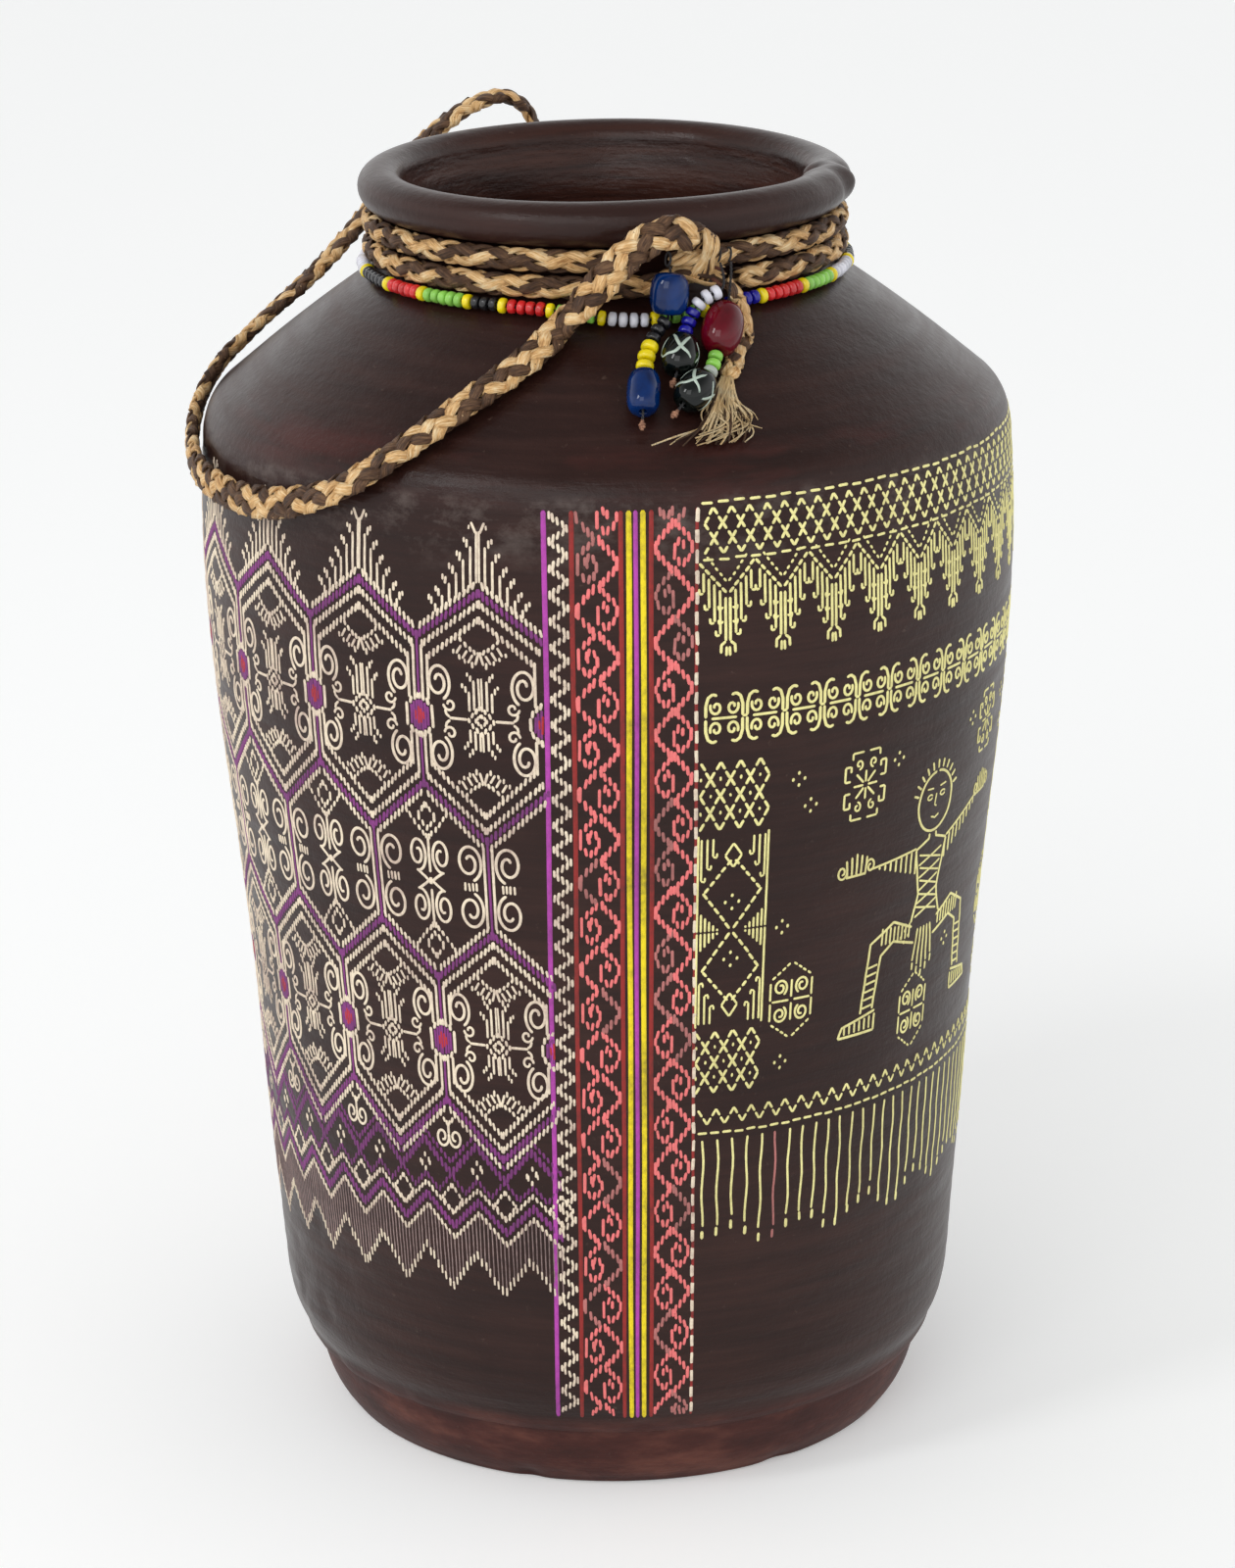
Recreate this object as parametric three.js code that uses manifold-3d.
// Hand-painted earthenware jar with a braided carrying strap and beads tied round its neck.
// Millimetres, +Z up. The origin is the centre of the foot's underside, and the front is -Y.
import * as THREE from 'three';
import { mergeVertices } from 'three/addons/utils/BufferGeometryUtils.js';
import Module from 'manifold-3d';

const wasm = await Module();
wasm.setup();

// Driving dimensions: the fired clay
const jarHeight = 360;
const footRadius = 81;
const footTopRadius = 88.2;
const footHeight = 19;
const ledgeOverhang = 3.6;
const ledgeRise = 5.5;
const bodyFootRadius = 96.2;
const bodyFootHeight = 36;
const bellyRadius = 113;
const bellyHeight = 252;
const shoulderEdgeRadius = 107.5;
const shoulderEdgeHeight = 297.6;
const shoulderCrown = 1.5;
const neckRadius = 60;
const neckFootHeight = 338;
const neckFootFillet = 6.5;
const neckFootDrop = 8.7;
const openingRadius = 55.5;
const rimRoll = 6.15;
const wallThickness = 8.5;
const neckWall = 7.5;
const floorThickness = 12;
const floorFillet = 16;
const jarSides = 48;

// Driving dimensions: cords and beads
const runningGap = 0.3;
const beadGap = 0.6;
const barrelEndGap = 1.3;
const wrapDiameter = 6.4;
const wrapNeckGap = 0.7;
const wrapTurnGap = 0.6;
const wrapClimb = 24;
const wrapSteps = 48;
const stringRadius = 66.9;
const stringClearance = 0.45;
const strapWidth = 9;
const strapThickness = 4.2;
const threadDiameter = 0.8;
const boreDiameter = 2.2;
const seedDiameter = 4;
const seedLength = 2.2;
const seedPitch = 2.7;
const largeSeedDiameter = 4.7;
const largeSeedLength = 2.6;
const upperBarrelDiameter = 10.2;
const upperBarrelLength = 11.2;
const lowerBarrelDiameter = 8.7;
const lowerBarrelLength = 12.7;
const trailedBeadDiameter = 9.6;
const trailedBeadLength = 12.2;
const redBeadDiameter = 11;
const redBeadLength = 15.2;
const endKnotDiameter = 2.4;
const tailWidth = 4.4;
const tailThickness = 2.4;

// Driving dimensions: where the cord is tied
const knotAngle = 20;
const hingeRadius = 74;
const hingeHeight = 344.5;
const bindingDiameter = 3.8;
const bindingStraight = 17.5;
const backTieAngle = -165;
const leftThreadSide = -8.9;
const middleThreadSide = 5;
const rightThreadSide = 8;
const leftBeadsFrom = 1.4;
const middleBeadsFrom = 8.1;
const rightBeadsFrom = 11.6;
const threadSteps = 24;

const rad = THREE.MathUtils.degToRad;
const Z = new THREE.Vector3(0, 0, 1);

// A point at an angle round the jar, measured from the front (-Y) towards +X
function around(angle, radius, height) {
  return new THREE.Vector3(radius * Math.sin(rad(angle)), -radius * Math.cos(rad(angle)), height);
}

function outward(angle) {
  return around(angle, 1, 0);
}

function sideways(angle) {
  return new THREE.Vector3(Math.cos(rad(angle)), Math.sin(rad(angle)), 0);
}

// The shoulder's straight line, from where it leaves the neck's fillet down to its edge
const shoulderTop = new THREE.Vector2(neckRadius + neckFootFillet, neckFootHeight - neckFootDrop);
const shoulderEdge = new THREE.Vector2(shoulderEdgeRadius, shoulderEdgeHeight);
const downSlope = shoulderEdge.clone().sub(shoulderTop).normalize();
const offSlope = new THREE.Vector2(-downSlope.y, downSlope.x);

// A point on the shoulder: angle round the jar, distance down the slope, height off it
function onShoulder([angle, slant, lift]) {
  const p = shoulderTop.clone().addScaledVector(downSlope, slant).addScaledVector(offSlope, lift);
  return around(angle, p.x, p.y);
}

// The direction that stands square off the shoulder
function offShoulder(angle) {
  return outward(angle).multiplyScalar(offSlope.x).addScaledVector(Z, offSlope.y);
}

// Materials
function material(color, roughness, metalness = 0) {
  return new THREE.MeshStandardMaterial({ color, roughness, metalness });
}

const clay = material(0x33241f, 0.55);
const braid = material(0xb98f5c, 0.85);
const braidEnd = material(0xd8b276, 0.9);
const cotton = material(0x2b2a2c, 0.8);
const knotCotton = material(0xa5765c, 0.85);
const seedString = material(0xd8d020, 0.35);
const blueGlass = material(0x133f86, 0.12);
const redGlass = material(0x6b1a2b, 0.15);
const blackGlass = material(0x1a211f, 0.25);
const seedColours = {
  black: material(0x16161a, 0.3),
  yellow: material(0xf2df14, 0.35),
  white: material(0xe4e4ee, 0.35),
  royal: material(0x14149c, 0.3),
  green: material(0x86bb4c, 0.4),
  clear: material(0xb4bcb4, 0.3),
};

const part = new THREE.Group();

function addPiece(name, geometry, mat) {
  const mesh = new THREE.Mesh(geometry, mat);
  mesh.name = name;
  part.add(mesh);
  return mesh;
}

// Solids for cutting and joining
function toSolid(geometry) {
  const bare = geometry.clone();
  bare.deleteAttribute('normal');
  bare.deleteAttribute('uv');
  const merged = mergeVertices(bare, 1e-5);
  const vertProperties = new Float32Array(merged.attributes.position.array);
  const triVerts = new Uint32Array(merged.index.array);
  return new wasm.Manifold(new wasm.Mesh({ numProp: 3, vertProperties, triVerts }));
}

function toGeometry(solid) {
  const mesh = solid.getMesh();
  const geometry = new THREE.BufferGeometry();
  geometry.setAttribute('position', new THREE.BufferAttribute(new Float32Array(mesh.vertProperties), 3));
  geometry.setIndex(new THREE.BufferAttribute(new Uint32Array(mesh.triVerts), 1));
  geometry.computeVertexNormals();
  return geometry;
}

// A closed body through a row of rings that have equally many points, with a fan at each end.
// Closed rows, such as a necklace, join the last ring to the first instead.
function loft(rings, closed = false) {
  const count = rings[0].length;
  const positions = rings.flat().flatMap((p) => p.toArray());
  const index = [];
  const last = closed ? rings.length : rings.length - 1;
  for (let i = 0; i < last; i += 1) {
    const next = (i + 1) % rings.length;
    for (let j = 0; j < count; j += 1) {
      const k = (j + 1) % count;
      const a = i * count + j;
      const b = i * count + k;
      const c = next * count + j;
      const d = next * count + k;
      index.push(a, b, d, a, d, c);
    }
  }
  if (!closed) {
    const end = (rings.length - 1) * count;
    for (let j = 1; j < count - 1; j += 1) {
      index.push(0, j + 1, j);
      index.push(end, end + j, end + j + 1);
    }
  }
  const geometry = new THREE.BufferGeometry();
  geometry.setAttribute('position', new THREE.Float32BufferAttribute(positions, 3));
  geometry.setIndex(index);
  geometry.computeVertexNormals();
  return geometry;
}

// A ring of points in the plane of two directions
function ring(centre, across, up, halfWidth, halfHeight, sides, turn = 0) {
  const points = [];
  for (let j = 0; j < sides; j += 1) {
    const a = (2 * Math.PI * j) / sides + turn;
    points.push(centre.clone()
      .addScaledVector(across, halfWidth * Math.cos(a))
      .addScaledVector(up, halfHeight * Math.sin(a)));
  }
  return points;
}

// A cord's route, whose flat face looks the way that facing says at each point
class LaidCord extends THREE.CatmullRomCurve3 {
  constructor(points, facing) {
    super(points, false, 'centripetal');
    this.facing = facing;
    this.arcLengthDivisions = 400;
  }

  computeFrenetFrames(steps) {
    const tangents = [];
    const normals = [];
    const binormals = [];
    for (let i = 0; i <= steps; i += 1) {
      const t = this.getTangentAt(i / steps);
      const face = this.facing(this.getPointAt(i / steps), i / steps);
      const n = new THREE.Vector3().crossVectors(face, t).normalize();
      tangents.push(t);
      normals.push(n);
      binormals.push(new THREE.Vector3().crossVectors(t, n).normalize());
    }
    return { tangents, normals, binormals };
  }
}

// A section with round edges: width across the cord's face, thickness through it
function cordSection(width, thickness, sides) {
  const points = [];
  for (let j = 0; j < sides; j += 1) {
    const a = (2 * Math.PI * (j + 0.5)) / sides;
    points.push(new THREE.Vector2(0.5 * width * Math.cos(a), 0.5 * thickness * Math.sin(a)));
  }
  return new THREE.Shape(points);
}

function cordBody(route, width, thickness, steps, sides = 8) {
  return new THREE.ExtrudeGeometry(cordSection(width, thickness, sides), {
    steps,
    bevelEnabled: false,
    extrudePath: route,
  });
}

// The jar: one turned wall, from the foot up over the rolled rim and down inside to the floor
function quadratic(from, control, to, steps) {
  const curve = new THREE.QuadraticBezierCurve(
    new THREE.Vector2(...from), new THREE.Vector2(...control), new THREE.Vector2(...to));
  return curve.getPoints(steps).slice(1);
}

const rimCentreRadius = openingRadius + rimRoll;
const rimCentreHeight = jarHeight - rimRoll;

function bodyWall(inset) {
  const low = bodyFootRadius;
  const gain = bellyRadius - bodyFootRadius;
  const rise = bellyHeight - bodyFootHeight;
  const swell = [[0, 0], [0.11, 0.12], [0.27, 0.28], [0.44, 0.42], [0.6, 0.61], [0.76, 0.815], [0.9, 0.95], [1, 1]];
  const wall = swell.map(([up, out]) => new THREE.Vector2(low + gain * out - inset, bodyFootHeight + rise * up));
  const tuck = shoulderEdgeHeight - bellyHeight;
  wall.push(new THREE.Vector2(bellyRadius - 0.3 - inset, bellyHeight + 0.44 * tuck));
  wall.push(new THREE.Vector2(bellyRadius - 1.1 - inset, bellyHeight + 0.75 * tuck));
  return wall;
}

function jarOutline() {
  const ledgeRadius = footTopRadius + ledgeOverhang;
  const points = [new THREE.Vector2(0, 0), new THREE.Vector2(footRadius, 0)];
  const footBow = 0.34 * footHeight;
  points.push(...quadratic([footRadius, 0], [footTopRadius - 1.6, footBow], [footTopRadius, footHeight], 4));
  points.push(new THREE.Vector2(ledgeRadius - 1.2, footHeight + 0.22 * ledgeRise));
  points.push(new THREE.Vector2(ledgeRadius, footHeight + 0.6 * ledgeRise));
  points.push(new THREE.Vector2(ledgeRadius + 0.5, footHeight + ledgeRise));
  points.push(new THREE.Vector2(bodyFootRadius - 1.6, bodyFootHeight - 6.5));
  const wall = bodyWall(0);
  points.push(...wall);
  const top = wall[wall.length - 1];
  points.push(...quadratic(
    top.toArray(), [top.x - 0.5, shoulderEdgeHeight - 4], [shoulderEdgeRadius, shoulderEdgeHeight], 4));
  const crown = shoulderTop.clone().add(shoulderEdge).multiplyScalar(0.5).addScaledVector(offSlope, shoulderCrown);
  points.push(...quadratic(shoulderEdge.toArray(), crown.toArray(), shoulderTop.toArray(), 5));
  points.push(...quadratic(
    shoulderTop.toArray(), [neckRadius + 0.4, neckFootHeight - 4.8], [neckRadius, neckFootHeight], 3));
  const rim = new THREE.EllipseCurve(
    rimCentreRadius, rimCentreHeight, rimRoll, rimRoll, rad(-106), rad(180), false);
  points.push(...rim.getPoints(11));
  const innerNeck = neckRadius - neckWall;
  points.push(new THREE.Vector2(innerNeck + 0.4, rimCentreHeight - 10));
  points.push(new THREE.Vector2(innerNeck, neckFootHeight - 4));
  const under = shoulderTop.clone().addScaledVector(offSlope, -wallThickness);
  points.push(under);
  const inside = bodyWall(wallThickness).reverse();
  const turn = shoulderEdge.clone().addScaledVector(offSlope, -wallThickness);
  points.push(new THREE.Vector2(inside[0].x - 6, turn.y + 1.5));
  points.push(...inside);
  const floorRadius = inside[inside.length - 1].x;
  points.push(...quadratic(
    [floorRadius - 0.8, floorThickness + floorFillet],
    [floorRadius - 3, floorThickness], [floorRadius - floorFillet, floorThickness], 3));
  points.push(new THREE.Vector2(0, floorThickness));
  return points;
}

const jarGeometry = new THREE.LatheGeometry(jarOutline(), jarSides);
jarGeometry.rotateX(Math.PI / 2);
addPiece('jar', jarGeometry, clay);

// The cord round the neck: two turns in one unbroken length. The lower turn lies in the foot of
// the neck, climbs behind the knot and goes round again above itself.
const wrapRadius = neckRadius + wrapNeckGap + 0.5 * wrapDiameter;
const wrapPitch = wrapDiameter + wrapTurnGap;
const wrapReach = rimRoll + runningGap + 0.5 * wrapDiameter;
const wrapTop = rimCentreHeight - Math.sqrt(wrapReach ** 2 - (wrapRadius - rimCentreRadius) ** 2);
const wrapStart = knotAngle + 0.5 * wrapClimb;
const wrapEnd = knotAngle + 720 - 0.5 * wrapClimb;

function wrapPoint(angle) {
  const climbFrom = knotAngle + 360 - 0.5 * wrapClimb;
  const up = THREE.MathUtils.smoothstep(angle, climbFrom, climbFrom + wrapClimb);
  return around(angle, wrapRadius, wrapTop - wrapPitch * (1 - up));
}

class NeckWinding extends THREE.Curve {
  getPoint(t, target = new THREE.Vector3()) {
    return target.copy(wrapPoint(wrapStart + t * (wrapEnd - wrapStart)));
  }
}

function neckWrapGeometry() {
  const winding = new NeckWinding();
  const steps = Math.round(((wrapEnd - wrapStart) / 360) * wrapSteps);
  const rings = [];
  for (let i = 0; i <= steps; i += 1) {
    const centre = winding.getPoint(i / steps);
    const out = new THREE.Vector3(centre.x, centre.y, 0).normalize();
    const along = winding.getTangent(i / steps);
    const up = new THREE.Vector3().crossVectors(out, along).normalize();
    rings.push(ring(centre, up, out, 0.5 * wrapDiameter, 0.5 * wrapDiameter, 8, Math.PI / 8));
  }
  return loft(rings);
}

addPiece('neck_wrap', neckWrapGeometry(), braid);

// The winding's least gap to itself, measured between points more than half a turn apart
function windingGap() {
  const points = [];
  for (let a = wrapStart; a <= wrapEnd; a += 2) {
    points.push({ angle: a, at: wrapPoint(a) });
  }
  let least = Infinity;
  for (const p of points) {
    for (const q of points) {
      if (q.angle - p.angle > 180) {
        least = Math.min(least, p.at.distanceTo(q.at) - wrapDiameter);
      }
    }
  }
  return least;
}

console.log(`neck wrap: least gap to itself ${windingGap().toFixed(2)} mm`);

// The string of seed beads that lies in the foot of the neck, fused with its thread. It has
// slipped a little way down the shoulder near the knot.
const stringSlant = -1.9;
const stringSlip = 4.3;
const stringSlipAngle = 8;
const stringSlipWidth = 17;
const stringLift = 0.5 * seedDiameter + stringClearance;

function stringPoint(angle) {
  const away = THREE.MathUtils.euclideanModulo(angle - stringSlipAngle + 180, 360) - 180;
  const slant = stringSlant + stringSlip * Math.exp(-((away / stringSlipWidth) ** 2));
  return onShoulder([angle, slant, stringLift]);
}

const stringCount = Math.round((2 * Math.PI * stringRadius) / seedPitch);

function beadStringGeometry() {
  const rings = [];
  for (let i = 0; i < stringCount * 2; i += 1) {
    const angle = (180 * i) / stringCount;
    const radius = i % 2 ? 0.5 * seedDiameter : 0.28 * seedDiameter;
    rings.push(ring(stringPoint(angle), Z, outward(angle), radius, radius, 6));
  }
  return loft(rings, true);
}

addPiece('bead_string', beadStringGeometry(), seedString);

// Knots are lobes of braid pulled tight against each other
function lobe(centre, angle, side, out, up) {
  const geometry = new THREE.SphereGeometry(1, 12, 8);
  geometry.rotateX(Math.PI / 2);
  geometry.scale(side, out, up);
  geometry.rotateZ(rad(angle));
  geometry.translate(centre.x, centre.y, centre.z);
  return geometry;
}

// A point in the front knot's own frame: along the jar's skin, away from its axis, and up
const hingeOrigin = around(knotAngle, hingeRadius, hingeHeight);

function atKnot(side, out, up) {
  return hingeOrigin.clone()
    .addScaledVector(sideways(knotAngle), side)
    .addScaledVector(outward(knotAngle), out)
    .addScaledVector(Z, up);
}

// The binding turn passes just over the threads' tops, so it sits its own radius, theirs and
// the gap away from the line that they swing about
const bindingReach = 0.5 * (bindingDiameter + threadDiameter) + runningGap;
const bindingShift = bindingReach * Math.SQRT1_2;

function frontKnotGeometry() {
  const fold = lobe(atKnot(1.0, 0.4, 6.6), knotAngle, 2.1, 2.5, 4.8);
  const body = lobe(atKnot(0.6, -3.9, -1.6), knotAngle, 6.6, 2.3, 5.6);
  const binding = new THREE.CapsuleGeometry(0.5 * bindingDiameter, bindingStraight, 3, 10);
  binding.rotateZ(Math.PI / 2);
  binding.rotateZ(rad(knotAngle));
  const at = atKnot(-0.4, -bindingShift, bindingShift);
  binding.translate(at.x, at.y, at.z);
  return toGeometry(toSolid(fold).add(toSolid(body)).add(toSolid(binding)));
}

addPiece('front_knot', frontKnotGeometry(), braid);

function backTieGeometry() {
  const seat = wrapRadius + 0.5 * wrapDiameter + 0.2;
  const high = lobe(around(backTieAngle, seat + 3.4, wrapTop + 0.6), backTieAngle, 5.4, 3, 4.6);
  const low = lobe(around(backTieAngle - 3, seat + 2.6, wrapTop - 6.4), backTieAngle, 5, 2.3, 4.4);
  const band = lobe(around(backTieAngle, seat + 3, wrapTop - 2.6), backTieAngle, 6.6, 2.6, 2);
  return toGeometry(toSolid(high).add(toSolid(low)).add(toSolid(band)));
}

addPiece('back_tie', backTieGeometry(), braid);

// The carrying strap: a flat braid, tied at the front knot and behind the neck. It crosses the
// shoulder, hangs a little over its left edge and stands clear of the jar on its way back.
const strapPoints = [
  [24.0, -72.6, 351.6],
  [22.0, -73.4, 352.7],
  [18.6, -74.6, 354.0],
  [13.9, -76.3, 353.6],
  [8.9, -77.4, 351.0],
  [3.7, -77.9, 346.7],
  [-1.4, -78.0, 341.1],
  [-6.8, -76.6, 335.0],
  [-11.9, -73.4, 329.2],
  [-17.5, -77.6, 324.2],
  [-23.8, -81.7, 320.0],
  [-30.2, -84.9, 316.1],
  [-42.9, -90.0, 308.3],
  [-49.3, -92.1, 304.2],
  [-55.7, -93.7, 300.2],
  [-62.4, -93.9, 295.8],
  [-69.3, -91.5, 291.4],
  [-77.6, -85.8, 287.1],
  [-85.9, -77.8, 283.8],
  [-93.9, -67.9, 281.9],
  [-100.8, -57.5, 281.3],
  [-106.6, -46.2, 281.4],
  [-111.4, -32.4, 282.2],
  [-114.2, -16.0, 284.0],
  [-115.1, -1.0, 286.6],
  [-114.6, 6.4, 289.4],
  [-113.0, 12.2, 293.4],
  [-107.8, 21.0, 300.4],
  [-101.9, 27.0, 305.2],
  [-95.3, 32.6, 310.6],
  [-88.1, 38.2, 316.0],
  [-81.3, 44.0, 321.4],
  [-72.4, 51.8, 330.0],
  [-63.2, 58.6, 340.4],
  [-54.0, 65.0, 350.6],
  [-46.0, 69.5, 357.3],
  [-37.2, 73.0, 362.4],
  [-28.8, 75.0, 364.2],
  [-22.8, 75.3, 360.8],
  [-19.8, 74.8, 354.6],
].map((p) => new THREE.Vector3(...p));

// The way that the strap's face looks, at shares of its length. It lies flat on the shoulder,
// stands on edge where it rounds the jar's left side, and turns flat again over the arch behind.
const strapLooks = [
  [0, 0.3, -0.95, 0.1],
  [0.06, 0.1, -0.95, 0.25],
  [0.11, -0.1, -0.66, 0.74],
  [0.25, -0.31, -0.52, 0.79],
  [0.33, -0.42, -0.55, 0.72],
  [0.38, -0.64, -0.66, 0.36],
  [0.43, -0.78, -0.6, 0.04],
  [0.52, -0.94, -0.32, 0],
  [0.6, -1, 0.02, 0.05],
  [0.67, -0.84, 0.16, 0.5],
  [0.74, -0.5, -0.1, 0.85],
  [0.88, -0.42, -0.2, 0.88],
  [0.93, -0.2, -0.1, 0.97],
  [0.96, 0.25, 0, 0.97],
  [0.98, 0.8, 0.05, 0.6],
  [1, 1, 0.1, 0.2],
];

function strapFacing(point, along) {
  const next = Math.max(1, strapLooks.findIndex(([share]) => share >= along));
  const [from, ...before] = strapLooks[next - 1];
  const [to, ...after] = strapLooks[next];
  const blend = (along - from) / (to - from);
  return new THREE.Vector3(...before).lerp(new THREE.Vector3(...after), blend).normalize();
}

const strapRoute = new LaidCord(strapPoints, strapFacing);
console.log(`carrying strap: ${strapRoute.getLength().toFixed(0)} mm long`);
addPiece('carrying_strap', cordBody(strapRoute, strapWidth, strapThickness, 72), braid);

// Three strings of beads hang from the knot and lie on the shoulder
function hangingThread(side, points) {
  const route = [atKnot(side, 0, 0), ...points.map(onShoulder)];
  return new LaidCord(route, (p) => offShoulder(THREE.MathUtils.radToDeg(Math.atan2(p.x, -p.y))));
}

// A turned bead: its outline is a row of [share of the length, share of the radius]
function beadGeometry(diameter, length, outline, sides) {
  const bore = 0.5 * boreDiameter;
  const outer = outline.map(([along, share]) => new THREE.Vector2(0.5 * diameter * share, (along - 0.5) * length));
  const profile = [new THREE.Vector2(bore, -0.5 * length), ...outer, new THREE.Vector2(bore, 0.5 * length)];
  profile.push(profile[0].clone());
  const geometry = new THREE.LatheGeometry(profile, sides);
  geometry.rotateX(Math.PI / 2);
  return geometry;
}

const outlines = {
  seed: [[0, 0.66], [0.26, 0.97], [0.74, 0.97], [1, 0.66]],
  barrel: [[0, 0.6], [0.05, 0.74], [0.2, 0.92], [0.38, 1], [0.62, 1], [0.8, 0.92], [0.95, 0.74], [1, 0.6]],
  oval: [[0, 0.36], [0.05, 0.52], [0.16, 0.76], [0.32, 0.94], [0.5, 1], [0.68, 0.94], [0.84, 0.76], [0.95, 0.52], [1, 0.36]],
};

// A bead sits with its axis along the chord of the thread that it covers
function threadBead(name, route, start, kind, mat) {
  const whole = route.getLength();
  const from = route.getPointAt(start / whole);
  const to = route.getPointAt((start + kind.length) / whole);
  const geometry = beadGeometry(kind.diameter, kind.length, kind.outline, kind.sides);
  const mesh = addPiece(name, geometry, mat);
  mesh.position.copy(from).add(to).multiplyScalar(0.5);
  mesh.quaternion.setFromUnitVectors(Z, to.clone().sub(from).normalize());
  return start + kind.length + (kind.endGap ?? beadGap);
}

const seed = { diameter: seedDiameter, length: seedLength, outline: outlines.seed, sides: 8 };
const largeSeed = { diameter: largeSeedDiameter, length: largeSeedLength, outline: outlines.seed, sides: 8 };
const upperBarrel = {
  diameter: upperBarrelDiameter,
  length: upperBarrelLength,
  outline: outlines.barrel,
  sides: 14,
  endGap: barrelEndGap,
};
const lowerBarrel = {
  diameter: lowerBarrelDiameter, length: lowerBarrelLength, outline: outlines.barrel, sides: 14,
};
const trailedBead = {
  diameter: trailedBeadDiameter, length: trailedBeadLength, outline: outlines.oval, sides: 14,
};
const redBead = { diameter: redBeadDiameter, length: redBeadLength, outline: outlines.oval, sides: 14 };

// Strings each bead in turn, then ties off the thread under the last one
function stringUp(label, route, start, beads) {
  let at = start;
  for (const [name, kind, mat] of beads) {
    at = threadBead(name, route, at, kind, mat);
  }
  const whole = route.getLength();
  addPiece(`${label}_thread`, cordBody(route, threadDiameter, threadDiameter, threadSteps, 6), cotton);
  const end = route.getPointAt(1);
  const along = route.getTangentAt(1);
  const knot = new THREE.SphereGeometry(0.5 * endKnotDiameter, 8, 6);
  const tied = addPiece(`${label}_end_knot`, knot, knotCotton);
  tied.position.copy(end).addScaledVector(along, 0.5 * endKnotDiameter + runningGap);
  console.log(`${label}: beads end at ${at.toFixed(1)} of ${whole.toFixed(1)} mm of thread`);
}

const leftRoute = hangingThread(leftThreadSide, [
  [12.9, 0.0, 14.1],
  [12.6, 3.0, 11.3],
  [12.3, 5.9, 8.6],
  [12.1, 6.9, 7.8],
  [11.2, 8.0, 7.4],
  [10.1, 9.4, 7.0],
  [9.0, 11.6, 6.6],
  [8.0, 14.4, 6.4],
  [7.2, 17.4, 6.2],
  [6.6, 20.6, 6.0],
  [6.3, 23.8, 5.9],
  [6.0, 27.0, 5.8],
  [5.7, 30.2, 5.7],
  [5.5, 33.4, 5.6],
  [5.4, 36.0, 5.2],
  [5.3, 37.4, 4.6],
]);
stringUp('left_string', leftRoute, leftBeadsFrom, [
  ['upper_blue_barrel', upperBarrel, blueGlass],
  ['black_seed_1', seed, seedColours.black],
  ['black_seed_2', seed, seedColours.black],
  ['black_seed_3', seed, seedColours.black],
  ['yellow_seed_1', largeSeed, seedColours.yellow],
  ['yellow_seed_2', largeSeed, seedColours.yellow],
  ['yellow_seed_3', largeSeed, seedColours.yellow],
  ['lower_blue_barrel', lowerBarrel, blueGlass],
]);

const middleRoute = hangingThread(middleThreadSide, [
  [24.1, -0.6, 15.1],
  [23.9, 1.6, 13.8],
  [23.0, 3.0, 13.2],
  [21.6, 3.6, 12.8],
  [19.8, 4.1, 12.2],
  [18.3, 5.0, 11.0],
  [17.0, 6.6, 9.2],
  [15.9, 8.8, 7.8],
  [15.0, 11.2, 7.1],
  [14.2, 13.6, 6.7],
  [13.6, 16.1, 6.5],
  [13.0, 18.6, 6.4],
  [12.4, 21.1, 6.3],
  [11.8, 23.6, 6.2],
  [11.3, 25.2, 5.8],
]);
stringUp('middle_string', middleRoute, middleBeadsFrom, [
  ['white_seed_1', seed, seedColours.white],
  ['white_seed_2', seed, seedColours.white],
  ['white_seed_3', seed, seedColours.white],
  ['royal_seed_1', seed, seedColours.royal],
  ['royal_seed_2', seed, seedColours.royal],
  ['royal_seed_3', seed, seedColours.royal],
  ['upper_trailed_bead', trailedBead, blackGlass],
]);

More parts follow.
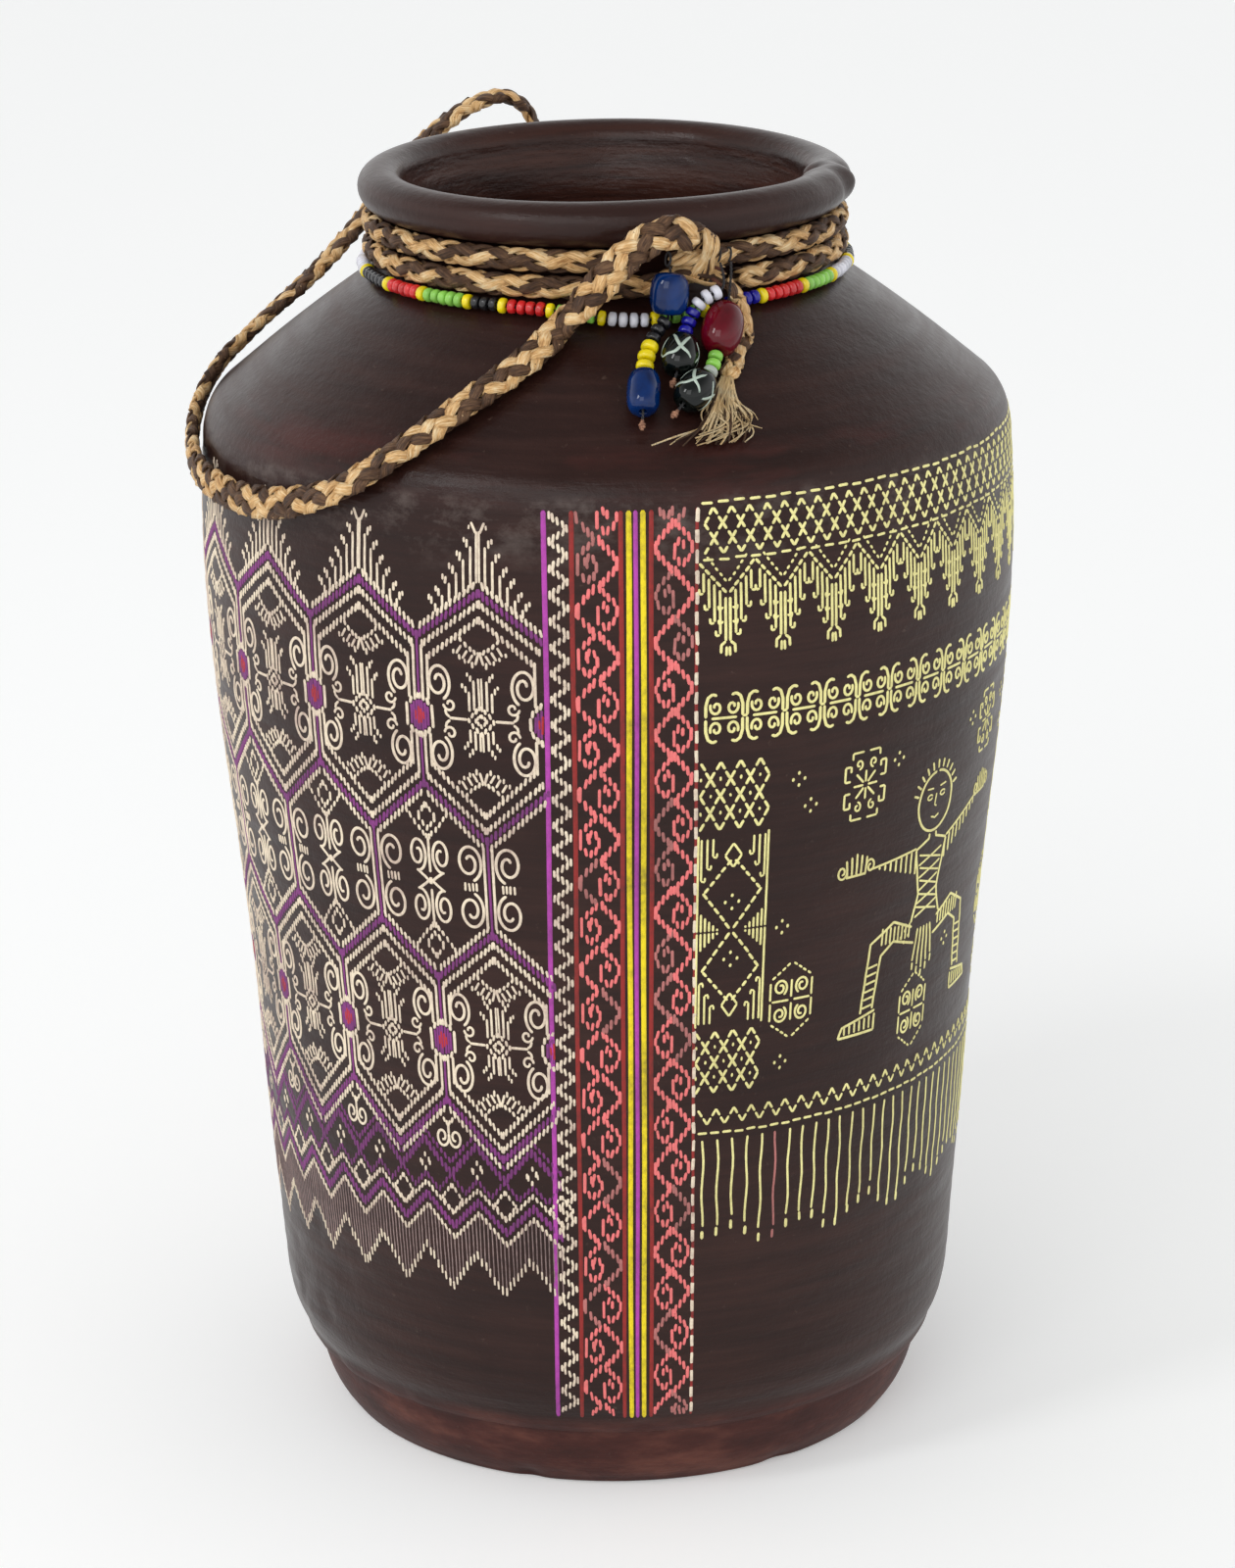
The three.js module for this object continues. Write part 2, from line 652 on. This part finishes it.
const rightRoute = hangingThread(rightThreadSide, [
  [26.1, -0.8, 14.4],
  [25.8, 1.4, 11.6],
  [25.3, 3.9, 9.0],
  [24.3, 6.7, 8.2],
  [23.2, 9.5, 7.8],
  [22.1, 12.3, 7.4],
  [21.0, 15.1, 7.0],
  [19.9, 17.9, 6.6],
  [19.0, 20.3, 6.3],
  [18.1, 22.8, 6.2],
  [17.0, 25.2, 6.3],
  [15.8, 27.4, 6.4],
  [14.4, 29.6, 6.4],
  [13.0, 31.8, 6.4],
  [11.7, 34.0, 6.3],
  [10.7, 35.8, 5.9],
]);
stringUp('right_string', rightRoute, rightBeadsFrom, [
  ['red_bead', redBead, redGlass],
  ['green_seed_1', seed, seedColours.green],
  ['green_seed_2', seed, seedColours.green],
  ['clear_seed', seed, seedColours.clear],
  ['lower_trailed_bead', trailedBead, blackGlass],
]);

// The cord's loose end leaves the knot on the right and lies down the shoulder
const tailPoints = [
  [26.9, -3.2, 9.6],
  [27.8, -1.5, 8.4],
  [28.7, 0.2, 6.9],
  [29.5, 1.8, 5.2],
  [30.0, 3.6, 3.9],
  [30.1, 5.6, 3.0],
  [29.7, 7.6, 2.7],
  [28.9, 9.4, 2.6],
  [27.9, 11.2, 2.7],
  [26.7, 13.4, 2.8],
  [25.4, 15.8, 2.9],
  [24.2, 18.0, 2.9],
  [23.0, 20.2, 2.9],
  [21.9, 22.4, 2.9],
  [20.9, 24.4, 2.9],
];

function shoulderFacing(point) {
  return offShoulder(THREE.MathUtils.radToDeg(Math.atan2(point.x, -point.y)));
}

const tailRoute = new LaidCord(tailPoints.map(onShoulder), shoulderFacing);
addPiece('tail_cord', cordBody(tailRoute, tailWidth, tailThickness, 28), braid);

// Its frayed end spreads into a ragged fan: rows of [angle, slant, lift, half width, half depth]
const tuftRows = [
  [20.3, 25.9, 2.9, 2.1, 1.2],
  [19.8, 28.2, 2.9, 2.6, 1.4],
  [19.1, 31.6, 2.9, 3.5, 1.4],
  [18.3, 35.2, 2.8, 4.8, 1.3],
  [17.4, 38.8, 2.6, 6.4, 1.2],
  [16.6, 42.2, 2.3, 8.0, 1.0],
  [16.0, 45.0, 2.0, 9.0, 0.8],
];
const tuftSides = 12;
const tuftRag = 1.6;

function tuftGeometry() {
  const last = tuftRows.length - 1;
  const rings = tuftRows.map(([angle, slant, lift, halfWidth, halfDepth], i) => {
    const centre = onShoulder([angle, slant, lift]);
    const points = ring(centre, sideways(angle), offShoulder(angle), halfWidth, halfDepth, tuftSides);
    const down = outward(angle).multiplyScalar(downSlope.x).addScaledVector(Z, downSlope.y);
    return points.map((p, j) => (i === last ? p.addScaledVector(down, j % 2 ? tuftRag : -tuftRag) : p));
  });
  return loft(rings);
}

addPiece('tail_tuft', tuftGeometry(), braidEnd);

export default part;
